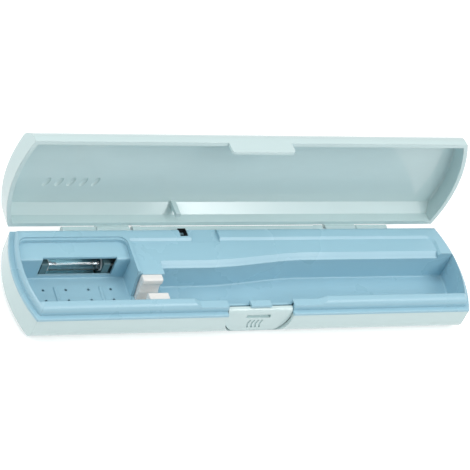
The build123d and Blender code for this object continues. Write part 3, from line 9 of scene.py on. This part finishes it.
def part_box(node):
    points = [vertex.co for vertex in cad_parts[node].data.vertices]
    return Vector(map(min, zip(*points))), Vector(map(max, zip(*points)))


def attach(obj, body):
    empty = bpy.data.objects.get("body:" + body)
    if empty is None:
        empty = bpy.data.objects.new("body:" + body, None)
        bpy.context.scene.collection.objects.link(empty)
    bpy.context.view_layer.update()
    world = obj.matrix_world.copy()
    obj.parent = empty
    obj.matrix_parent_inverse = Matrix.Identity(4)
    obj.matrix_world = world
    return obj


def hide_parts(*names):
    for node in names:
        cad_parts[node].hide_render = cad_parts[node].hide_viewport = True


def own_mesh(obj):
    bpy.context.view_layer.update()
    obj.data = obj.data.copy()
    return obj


# Open travel case for one toothbrush: an outer casing in pale plastic, a blue tray, a
# white clip for the brush's neck and a germicidal lamp behind a window in the tray.
# The solids come from the frame. This script gives them their finish, adds the lamp's
# small pieces and lights the scene.

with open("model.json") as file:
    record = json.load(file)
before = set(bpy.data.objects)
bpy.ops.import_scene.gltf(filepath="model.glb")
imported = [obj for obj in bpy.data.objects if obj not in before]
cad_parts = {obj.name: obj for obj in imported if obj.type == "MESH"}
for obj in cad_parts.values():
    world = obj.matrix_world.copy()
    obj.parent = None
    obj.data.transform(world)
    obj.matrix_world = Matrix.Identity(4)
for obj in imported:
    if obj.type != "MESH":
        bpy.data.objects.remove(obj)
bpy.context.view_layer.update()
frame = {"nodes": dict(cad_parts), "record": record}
nodes_by_name = frame["nodes"]

MM = 0.001


# Camera, solved from the outline in the photograph
CAMERA_AZIMUTH = -36.34
CAMERA_ELEVATION = 43.0
CAMERA_ROLL = 26.179
# From the middle of the casing's rim to the camera, along the camera's own axes
CAMERA_REACH = (-4.958, 16.663, 1168.161)
RIM_Z = 16.4 * MM
FOCAL_PIXELS = 2568.877
PHOTO_PIXELS = 470
SENSOR_WIDTH = 36.0
CLIP_NEAR = 0.05
CLIP_FAR = 50


def add_camera():
    azimuth = radians(CAMERA_AZIMUTH)
    elevation = radians(CAMERA_ELEVATION)
    roll = radians(CAMERA_ROLL)
    back = Vector((sin(azimuth) * cos(elevation), -cos(azimuth) * cos(elevation), sin(elevation)))
    level = Vector((cos(azimuth), sin(azimuth), 0))
    upright = back.cross(level)
    right = cos(roll) * level + sin(roll) * upright
    up = cos(roll) * upright - sin(roll) * level
    turn = Matrix((right, up, back)).transposed()
    place = turn @ Vector(CAMERA_REACH) * MM
    data = bpy.data.cameras.new("camera")
    data.sensor_width = SENSOR_WIDTH
    data.lens = FOCAL_PIXELS * SENSOR_WIDTH / PHOTO_PIXELS
    data.clip_start = CLIP_NEAR
    data.clip_end = CLIP_FAR
    camera = bpy.data.objects.new("camera", data)
    camera.matrix_world = Matrix.Translation(place + Vector((0, 0, RIM_Z))) @ turn.to_4x4()
    bpy.context.scene.collection.objects.link(camera)
    bpy.context.scene.camera = camera


# Materials
BEVEL_SAMPLES = 4
NOISE_MIDDLE = (0.3, 0.7)


class Shader:
    """A node material with its main shader and short calls for the usual nodes."""

    def __init__(self, name, sockets):
        self.material = bpy.data.materials.new(name)
        self.material.use_nodes = True
        self.tree = self.material.node_tree
        self.main = self.tree.nodes["Principled BSDF"]
        self.coords = self.add("ShaderNodeTexCoord").outputs["Object"]
        for socket, value in sockets.items():
            self.main.inputs[socket].default_value = value

    def add(self, kind, **settings):
        node = self.tree.nodes.new(kind)
        for key, value in settings.items():
            setattr(node, key, value)
        return node

    def link(self, source, target):
        if isinstance(target, str):
            target = self.main.inputs[target]
        self.tree.links.new(source, target)

    def noise(self, scale, detail, stretch=None):
        node = self.add("ShaderNodeTexNoise")
        node.inputs["Scale"].default_value = scale
        node.inputs["Detail"].default_value = detail
        coords = self.coords
        if stretch:
            mapping = self.add("ShaderNodeMapping")
            mapping.inputs["Scale"].default_value = stretch
            self.link(coords, mapping.inputs["Vector"])
            coords = mapping.outputs["Vector"]
        self.link(coords, node.inputs["Vector"])
        return node.outputs["Fac"]

    def ramp(self, factor, stops, kind="LINEAR"):
        """Colours at places from 0 to 1."""
        node = self.add("ShaderNodeValToRGB")
        node.color_ramp.interpolation = kind
        elements = node.color_ramp.elements
        while len(elements) < len(stops):
            elements.new(1)
        for element, (place, colour) in zip(elements, stops):
            element.position = place
            element.color = (*colour, 1)
        self.link(factor, node.inputs["Fac"])
        return node.outputs["Color"]

    def spread(self, factor, tones):
        """From the first tone to the second over the middle of a noise's range."""
        return self.ramp(factor, tuple(zip(NOISE_MIDDLE, tones)))

    def span(self, factor, low, high, start=0.0, end=1.0):
        """From low to high as the factor goes from start to end."""
        node = self.add("ShaderNodeMapRange")
        values = {"From Min": start, "From Max": end, "To Min": low, "To Max": high}
        for socket, value in values.items():
            node.inputs[socket].default_value = value
        self.link(factor, node.inputs["Value"])
        return node.outputs["Result"]

    def along(self, axis, low, high):
        """0 at the low coordinate and 1 at the high one."""
        split = self.add("ShaderNodeSeparateXYZ")
        self.link(self.coords, split.inputs["Vector"])
        return self.span(split.outputs[axis], 0, 1, low, high)

    def bump(self, height, strength, distance, edge=None):
        """Surface relief, over an edge softened by a radius."""
        node = self.add("ShaderNodeBump")
        node.inputs["Strength"].default_value = strength
        node.inputs["Distance"].default_value = distance
        self.link(height, node.inputs["Height"])
        if edge:
            bevel = self.add("ShaderNodeBevel", samples=BEVEL_SAMPLES)
            bevel.inputs["Radius"].default_value = edge
            self.link(bevel.outputs["Normal"], node.inputs["Normal"])
        self.link(node.outputs["Normal"], "Normal")


def shade(colour, factor):
    return tuple(channel * factor for channel in colour)


def grey(level):
    return (level, level, level)


# Colours, as linear values
SHELL = (0.585, 0.735, 0.74)
TRAY = (0.335, 0.56, 0.665)
WHITE = (0.80, 0.785, 0.76)
BLACK = grey(0.012)
PLUNGER = (0.12, 0.13, 0.14)
LEAD_WHITE = (0.72, 0.72, 0.70)
LEAD_RED = (0.42, 0.03, 0.025)
RUBBER = (0.10, 0.19, 0.21)
STEEL = ((0.48, 0.49, 0.50), (0.66, 0.67, 0.68))
# Reflector sheet: its teal tone is a painted reflection of the blue tray around it
REFLECTOR_TEAL_REFLECTION = ((0.48, 0.76, 0.84), (0.56, 0.84, 0.90))
GLASS = ((0.86, 0.93, 0.95), (0.93, 0.98, 0.99))
BOARD = ((0.012, 0.13, 0.045), (0.016, 0.16, 0.055))
BOARD_TRACK = (0.05, 0.28, 0.10)
WINDING = ((0.02, 0.018, 0.016), (0.05, 0.045, 0.035))
SLEEVE = (0.015, 0.03, 0.12)
CELL_WRAP = ((0.03, 0.06, 0.075), (0.50, 0.44, 0.34))

# How far light goes into the clip's plastic
GLOW_DEPTH = 4.5 * MM
# The height that a bump of full strength stands for
FINE_RELIEF = 0.05 * MM
RELIEF = 0.1 * MM
GLASS_RELIEF = 0.2 * MM
# Radii of softened edges
SHARP_EDGE = 0.1 * MM
SMALL_EDGE = 0.2 * MM
MOULD_EDGE = 0.3 * MM
# The bare rim on top of the capacitor's sleeve
SLEEVE_TOP = 0.25 * MM
# Where each zone of a cell starts, along its length: steel, dark, gold and steel
CELL_ZONES = (0, 0.012, 0.7, 0.962)
CELL_SHINE = (1, 0.2, 0.9, 1)

PLASTIC_IOR = 1.47
QUARTZ_IOR = 1.46
# How much a plastic's tone and roughness vary
GRAIN_SPREAD = 0.008
HAZE_LOW = -0.02
HAZE_HIGH = 0.03
HAZE_RANGE = (0.35, 0.7)
# Strength of the usual reliefs
PLAIN_RELIEF = 0.02
FAINT_RELIEF = 0.05


def moulded(name, colour, roughness, edge=MOULD_EDGE, relief=PLAIN_RELIEF, glow=0.0):
    """Injection-moulded plastic: faint grain, handling haze and softened edges."""
    s = Shader(name, {"IOR": PLASTIC_IOR, "Subsurface Weight": glow})
    if glow:
        s.main.inputs["Subsurface Radius"].default_value = colour
        s.main.inputs["Subsurface Scale"].default_value = GLOW_DEPTH
    grain = s.noise(scale=300, detail=6, stretch=(0.3, 1, 1))
    tones = (shade(colour, 1 - GRAIN_SPREAD), shade(colour, 1 + GRAIN_SPREAD))
    s.link(s.spread(grain, tones), "Base Color")
    haze = s.noise(scale=38, detail=5)
    rough = s.span(haze, roughness + HAZE_LOW, roughness + HAZE_HIGH, *HAZE_RANGE)
    s.link(rough, "Roughness")
    s.bump(s.noise(scale=55, detail=2), relief, RELIEF, edge)
    return s.material


def plain_metal(name, tones, roughness, scale, stretch):
    """Metal sheet or wire with rolling or drawing lines along X."""
    s = Shader(name, {"Metallic": 1.0})
    lines = s.noise(scale, detail=4, stretch=stretch)
    s.link(s.spread(lines, tones), "Base Color")
    s.link(s.span(lines, *roughness), "Roughness")
    s.bump(lines, FAINT_RELIEF, RELIEF)
    return s.material


def quartz_glass():
    """Clear tube glass with a faint drawn haze."""
    s = Shader("quartz", {"Roughness": 0.02, "IOR": QUARTZ_IOR, "Transmission Weight": 1.0})
    haze = s.noise(scale=220, detail=3, stretch=(0.2, 1, 1))
    s.link(s.spread(haze, GLASS), "Base Color")
    s.bump(haze, PLAIN_RELIEF, GLASS_RELIEF)
    return s.material


def solder_resist():
    """Green resist over a pattern of tracks."""
    s = Shader("solder_resist", {"Roughness": 0.35})
    tracks = s.add("ShaderNodeTexBrick", offset=0.5, squash=1.0)
    tracks.inputs["Scale"].default_value = 260
    tracks.inputs["Mortar Size"].default_value = 0.03
    s.link(s.coords, tracks.inputs["Vector"])
    tracks.inputs["Color1"].default_value = (*BOARD[0], 1)
    tracks.inputs["Color2"].default_value = (*BOARD[1], 1)
    tracks.inputs["Mortar"].default_value = (*BOARD_TRACK, 1)
    s.link(tracks.outputs["Color"], "Base Color")
    s.bump(tracks.outputs["Fac"], 0.1, FINE_RELIEF, SHARP_EDGE)
    return s.material


def wound_core():
    """Dark ferrite with the bands of its winding."""
    s = Shader("ferrite_and_tape", {"Roughness": 0.5})
    turns = s.add("ShaderNodeTexWave", wave_type="BANDS", bands_direction="X")
    turns.inputs["Scale"].default_value = 420
    turns.inputs["Distortion"].default_value = 0.6
    s.link(s.coords, turns.inputs["Vector"])
    tones = [(0.2, WINDING[0]), (0.8, WINDING[1])]
    s.link(s.ramp(turns.outputs["Fac"], tones), "Base Color")
    s.bump(turns.outputs["Fac"], 0.25, RELIEF, SMALL_EDGE)
    return s.material


def sleeved_can(node):
    """A capacitor's sleeve, with the bare can showing on top."""
    low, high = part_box(node)
    s = Shader("capacitor_sleeve", {"Roughness": 0.28})
    height = s.along("Z", low[2], high[2])
    bare = 1 - SLEEVE_TOP / (high[2] - low[2])
    s.link(s.ramp(height, [(0, SLEEVE), (bare, STEEL[1])], "CONSTANT"), "Base Color")
    s.link(s.ramp(height, [(0, grey(0)), (bare, grey(1))], "CONSTANT"), "Metallic")
    s.bump(s.noise(scale=300, detail=3), FAINT_RELIEF, RELIEF, SMALL_EDGE)
    return s.material


def wrapped_cell(node):
    """A plain two-tone cell wrap between bare steel ends."""
    low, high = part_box(node)
    s = Shader(f"{node}_wrap", {"Roughness": 0.22})
    place = s.along("X", low[0], high[0])
    tones = zip(CELL_ZONES, (STEEL[1], *CELL_WRAP, STEEL[1]))
    s.link(s.ramp(place, list(tones), "CONSTANT"), "Base Color")
    shine = [(start, grey(level)) for start, level in zip(CELL_ZONES, CELL_SHINE)]
    s.link(s.ramp(place, shine, "CONSTANT"), "Metallic")
    s.bump(s.noise(scale=300, detail=3, stretch=(0.1, 1, 1)), FAINT_RELIEF, RELIEF, SMALL_EDGE)
    return s.material


def make_materials():
    """One material for each of the record's slots."""
    return {
        "shell": moulded("shell_plastic", SHELL, 0.09, relief=0.012),
        "tray": moulded("tray_plastic", TRAY, 0.28, relief=0.006),
        "white_plastic": moulded("clip_plastic", WHITE, 0.26, glow=0.6),
        "black_plastic": moulded("black_plastic", BLACK, 0.5, SMALL_EDGE, 0.08),
        "plunger_plastic": moulded("plunger_plastic", PLUNGER, 0.4, SMALL_EDGE),
        "lead_white": moulded("lead_white", LEAD_WHITE, 0.4, SHARP_EDGE),
        "lead_red": moulded("lead_red", LEAD_RED, 0.4, SHARP_EDGE),
        "dark_rubber": moulded("holder_rubber", RUBBER, 0.45, relief=0.1),
        "steel": plain_metal("spring_steel", STEEL, (0.2, 0.38), 600, (0.2, 1, 1)),
        # The reflector's teal colour is a painted reflection of the tray
        "bright_sheet": plain_metal("reflector_painted_reflection", REFLECTOR_TEAL_REFLECTION, (0.48, 0.6), 900, (0.04, 1, 1)),
        "quartz": quartz_glass(),
        "board": solder_resist(),
        "core": wound_core(),
        "can": sleeved_can("capacitor"),
        "cell": wrapped_cell("battery_left"),
    }


def dress_nodes(materials):
    """Give each node its slot's material; the right cell needs zones of its own."""
    slots = {entry["node"]: entry["material_slot"] for entry in frame["record"]["subparts"]}
    own = {"battery_right": wrapped_cell("battery_right")}
    for name, node in nodes_by_name.items():
        for slot in node.material_slots:
            slot.material = own.get(name) or materials[slots[name]]


# Pieces that the solids leave out
MERGE_DISTANCE = 0.001 * MM
SHARP_ANGLE = 40
TUBE_SIDES = 64
SMALL_SIDES = 32
DOME_STEPS = 8
WIRE_RESOLUTION = 4


def add_piece(name, data, slot, body):
    """A piece with its material slot's finish, moving with a body."""
    piece = bpy.data.objects.new(name, data)
    data.materials.append(MATERIALS[slot])
    bpy.context.scene.collection.objects.link(piece)
    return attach(piece, body)


def mesh_data(name, form):
    """Mesh data from a bmesh, smooth except at its corners."""
    bmesh.ops.remove_doubles(form, verts=form.verts, dist=MERGE_DISTANCE)
    data = bpy.data.meshes.new(name)
    form.to_mesh(data)
    form.free()
    data.shade_smooth()
    data.set_sharp_from_angle(angle=radians(SHARP_ANGLE))
    return data


def turned_form(form, profile, centre, inside_out=False, sides=TUBE_SIDES):
    """Add a form turned about a line along X; the profile's points are (x, radius)."""
    rings = []
    for x, radius in profile:
        ring = []
        for index in range(sides):
            angle = 2 * pi * index / sides
            place = (x, centre[1] + radius * cos(angle), centre[2] + radius * sin(angle))
            ring.append(form.verts.new(place))
        rings.append(ring)
    for first, second in zip(rings, rings[1:]):
        for index in range(sides):
            after = (index + 1) % sides
            corners = (first[index], first[after], second[after], second[index])
            form.faces.new(corners[::-1] if inside_out else corners)


def domed(low_x, high_x, radius, dome):
    """The profile of a round bar with elliptic ends."""
    profile = []
    for index in range(DOME_STEPS + 1):
        angle = pi / 2 * index / DOME_STEPS
        profile.append((low_x + dome * (1 - cos(angle)), radius * sin(angle)))
    return profile + [(low_x + high_x - x, r) for x, r in reversed(profile)]


def ring_profile(low_x, high_x, inner, outer, round_r):
    """The profile of a ring with its outer corners rounded."""
    corner = round_r * (1 - 1 / sqrt(2))
    return [
        (low_x, inner),
        (low_x, outer - round_r),
        (low_x + corner, outer - corner),
        (low_x + round_r, outer),
        (high_x - round_r, outer),
        (high_x - corner, outer - corner),
        (high_x, outer - round_r),
        (high_x, inner),
        (low_x, inner),
    ]


def wire(name, points, radius, slot, body):
    """A bent wire through points, as a smooth bevelled curve."""
    data = bpy.data.curves.new(name, "CURVE")
    data.dimensions = "3D"
    data.bevel_depth = radius
    data.bevel_resolution = WIRE_RESOLUTION
    data.use_fill_caps = True
    line = data.splines.new("NURBS")
    line.points.add(len(points) - 1)
    for point, place in zip(line.points, points):
        point.co = (*place, 1)
    line.order_u = 3
    line.use_endpoint_u = True
    add_piece(name, data, slot, body)


# Room between pieces that fit into each other
FIT_GAP = 0.02 * MM

TUBE_WALL = 0.6 * MM
TUBE_DOME = 1.9 * MM
# Collar: a ring round the tube, clear of the holder's face
COLLAR_START = 0.05 * MM
COLLAR_END = 0.8 * MM
COLLAR_THICKNESS = 0.35 * MM
COLLAR_ROUND = 0.15 * MM
# Electrode cup inside the tube, measured from the holder's face
CUP_START = 0.8 * MM
CUP_LENGTH = 2.6 * MM
CUP_R = 1.1 * MM
CUP_DOME = 0.4 * MM
# Coil of fine wire in front of the cup
COIL_START = 3.6 * MM
COIL_R = 0.5 * MM
COIL_WIRE_R = 0.09 * MM
COIL_TURNS = 9
COIL_POINTS = 8
COIL_ADVANCE = 0.03 * MM
# Terminal on the holder's outer face, let into it a little
PIN_LENGTH = 1.5 * MM
PIN_LAP = 0.05 * MM
PIN_R = 0.75 * MM
PIN_DOME = 0.5 * MM
PIN_OFFSET = Vector((0, -2.0, -0.4)) * MM


def add_lamp():
    """The lamp as a hollow tube with its electrodes, collars and end terminals."""
    low, high = (Vector(corner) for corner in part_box("uv_lamp"))
    centre = (low + high) / 2
    radius = (high.z - low.z) / 2
    form = bmesh.new()
    turned_form(form, domed(low.x, high.x, radius, TUBE_DOME), centre)
    inside = domed(low.x + TUBE_WALL, high.x - TUBE_WALL, radius - TUBE_WALL, TUBE_DOME)
    turned_form(form, inside, centre, inside_out=True)
    tube = add_piece("lamp_tube", mesh_data("lamp_tube", form), "quartz", "base")
    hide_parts("uv_lamp")

    for side, name in ((1, "left"), (-1, "right")):
        holder_low, holder_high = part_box(f"lamp_holder_{name}")
        face_x = holder_high[0] if side > 0 else holder_low[0]
        back_x = holder_low[0] if side > 0 else holder_high[0]
        add_collar(name, face_x, side, centre, radius)
        add_electrode(name, face_x, side, centre)
        add_coil(name, face_x, side, centre)
        add_terminal(name, back_x, side, centre)


def add_collar(name, face_x, side, centre, radius):
    ends = sorted((face_x + side * COLLAR_START, face_x + side * COLLAR_END))
    form = bmesh.new()
    profile = ring_profile(*ends, radius + FIT_GAP, radius + COLLAR_THICKNESS, COLLAR_ROUND)
    turned_form(form, profile, centre)
    add_piece(f"lamp_collar_{name}", mesh_data("collar", form), "white_plastic", "base")


def add_electrode(name, face_x, side, centre):
    ends = sorted((face_x + side * CUP_START, face_x + side * (CUP_START + CUP_LENGTH)))
    form = bmesh.new()
    turned_form(form, domed(*ends, CUP_R, CUP_DOME), centre, sides=SMALL_SIDES)
    add_piece(f"lamp_electrode_{name}", mesh_data("electrode", form), "steel", "base")


def add_coil(name, face_x, side, centre):
    points = []
    for index in range(COIL_TURNS * COIL_POINTS):
        angle = 2 * pi * index / COIL_POINTS
        x = face_x + side * (COIL_START + COIL_ADVANCE * index)
        points.append((x, centre.y + COIL_R * cos(angle), centre.z + COIL_R * sin(angle)))
    wire(f"lamp_coil_{name}", points, COIL_WIRE_R, "steel", "base")


def add_terminal(name, back_x, side, centre):
    ends = sorted((back_x - side * PIN_LENGTH, back_x + side * PIN_LAP))
    form = bmesh.new()
    profile = domed(*ends, PIN_R, PIN_DOME)
    turned_form(form, profile, centre + PIN_OFFSET, sides=SMALL_SIDES)
    add_piece(f"lamp_terminal_{name}", mesh_data("terminal", form), "steel", "base")


# The post's hole in the tray, and a black sheet lining it as painted shade, stopping short of the
# hole's top
HOLE_LOW = Vector((-28.75, 17.7, 17.7)) * MM
HOLE_HIGH = Vector((-24.85, 22.7, 21.1)) * MM
SHADE_SHEET_WALL = 0.12 * MM
SHADE_SHEET_DROP = 0.5 * MM


def rectangle_ring(form, low, high, inset, z):
    """Four corners of a rectangle moved in by an inset, at a height."""
    xs = (low.x + inset, high.x - inset)
    ys = (low.y + inset, high.y - inset)
    corners = ((xs[0], ys[0]), (xs[1], ys[0]), (xs[1], ys[1]), (xs[0], ys[1]))
    return [form.verts.new((x, y, z)) for x, y in corners]


def joined_rings(form, rings):
    """Faces between rings of four corners, the last one joined to the first."""
    for first, second in zip(rings, rings[1:] + rings[:1]):
        for index in range(4):
            after = (index + 1) % 4
            form.faces.new((first[index], first[after], second[after], second[index]))
    bmesh.ops.recalc_face_normals(form, faces=form.faces)


def add_hole_shade_sheet():
    """A black sheet in the interlock's hole: painted shade that keeps the hole dark."""
    low_z = HOLE_LOW.z + FIT_GAP
    top_z = HOLE_HIGH.z - SHADE_SHEET_DROP
    sections = (
        (FIT_GAP, low_z),
        (FIT_GAP, top_z),
        (FIT_GAP + SHADE_SHEET_WALL, top_z),
        (FIT_GAP + SHADE_SHEET_WALL, low_z),
    )
    form = bmesh.new()
    rings = [rectangle_ring(form, HOLE_LOW, HOLE_HIGH, inset, z) for inset, z in sections]
    joined_rings(form, rings)
    # The black sheet is painted shade inside the hole
    add_piece("post_hole_shade_sheet", mesh_data("hole_shade_sheet", form), "black_plastic", "base")


def add_plunger_coil():
    """The coil under the plunger, as a copy of the spring's solid that moves with the base."""
    node = nodes_by_name["plunger_spring"]
    data = node.data.copy()
    data.materials.clear()
    coil = add_piece("plunger_coil", data, "steel", "base")
    coil.matrix_world = node.matrix_world
    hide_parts("plunger_spring")
    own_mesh(coil)


# Studio: floor, world and lamps
def seen_rays(tree):
    """1 for camera, glossy and transmission rays, and 0 for the light itself."""
    path = tree.nodes.new("ShaderNodeLightPath")
    total = path.outputs["Is Camera Ray"]
    for name in ("Is Glossy Ray", "Is Transmission Ray"):
        larger = tree.nodes.new("ShaderNodeMath")
        larger.operation = "MAXIMUM"
        tree.links.new(total, larger.inputs[0])
        tree.links.new(path.outputs[name], larger.inputs[1])
        total = larger.outputs["Value"]
    return total


FLOOR_SIZE = 8
FLOOR_TONE = 0.85
FLOOR_GLOW = 0.4


def add_floor():
    """Pale paper that keeps the object's shadow."""
    bpy.ops.mesh.primitive_plane_add(size=FLOOR_SIZE, location=(0, 0, 0))
    floor = bpy.context.object
    floor.name = "floor"
    s = Shader("floor_paper", {"Roughness": 0.9, "Base Color": (*grey(FLOOR_TONE), 1)})
    glow = s.add("ShaderNodeEmission")
    total = s.add("ShaderNodeAddShader")
    s.link(s.span(seen_rays(s.tree), 0, FLOOR_GLOW), glow.inputs["Strength"])
    s.link(s.main.outputs["BSDF"], total.inputs[0])
    s.link(glow.outputs["Emission"], total.inputs[1])
    s.link(total.outputs["Shader"], s.tree.nodes["Material Output"].inputs["Surface"])
    floor.data.materials.append(s.material)


# The white background's strength as a light
AMBIENT = 0.42


def add_world():
    """A background that is seen as white and lights the object more dimly."""
    world = bpy.data.worlds.new("studio")
    world.use_nodes = True
    tree = world.node_tree
    background = tree.nodes["Background"]
    background.inputs["Color"].default_value = (*grey(1), 1)
    strength = tree.nodes.new("ShaderNodeMapRange")
    strength.inputs["To Min"].default_value = AMBIENT
    tree.links.new(seen_rays(tree), strength.inputs["Value"])
    tree.links.new(strength.outputs["Result"], background.inputs["Strength"])
    bpy.context.scene.world = world


def add_lamp_panel(name, place, target, size, brightness):
    """A soft rectangular light of a given surface brightness."""
    data = bpy.data.lights.new(name, "AREA")
    data.shape = "RECTANGLE"
    data.size, data.size_y = size
    data.energy = pi * brightness * size[0] * size[1]
    lamp = bpy.data.objects.new(name, data)
    lamp.location = place
    aim = Vector(target) - Vector(place)
    lamp.rotation_euler = aim.to_track_quat("-Z", "Y").to_euler()
    bpy.context.scene.collection.objects.link(lamp)


# The key light stands to the front right and falls off away from its left edge
# The highlight on the lid starts at KEY_FROM, and KEY_WAY leads from there to the light
KEY_FROM = Vector((-0.0244, 0.0362, 0.0196))
KEY_WAY = Vector((0.413, -0.558, 0.72))
KEY_DISTANCE = 1.3
KEY_HEIGHT = 0.6
# Width and brightness of each strip, from the left edge
KEY_PANELS = ((0.03, 17.0), (0.03, 9.0), (0.05, 4.0), (0.08, 2.4), (0.16, 2.0), (0.5, 2.3))


def add_key():
    """Upright strips side by side, brightest at the left edge."""
    across = Vector((-KEY_WAY.y, KEY_WAY.x, 0)).normalized()
    start = 0
    for index, (width, brightness) in enumerate(KEY_PANELS):
        offset = across * (start + width / 2)
        place = KEY_FROM + KEY_WAY * KEY_DISTANCE + offset
        size = (width, KEY_HEIGHT)
        add_lamp_panel(f"key_{index}", place, place - KEY_WAY, size, brightness)
        start += width


OBJECT_CENTRE = (0, 0, 0.02)
# Name, place, target, size and brightness of each soft panel
SOFT_PANELS = (
    ("top", (-0.25, 0.2, 1.15), OBJECT_CENTRE, (0.9, 0.9), 1.9),
    ("left", (-0.95, 0.22, 0.55), OBJECT_CENTRE, (0.5, 0.5), 3.6),
    ("front", (0.28, -0.72, 0.62), (-0.08, 0, 0.02), (0.34, 0.24), 6.5),
)


add_camera()
MATERIALS = make_materials()
dress_nodes(MATERIALS)
add_lamp()
add_hole_shade_sheet()
add_plunger_coil()
add_floor()
add_world()
add_key()
for panel in SOFT_PANELS:
    add_lamp_panel(*panel)

bpy.context.scene.view_settings.view_transform = "Standard"
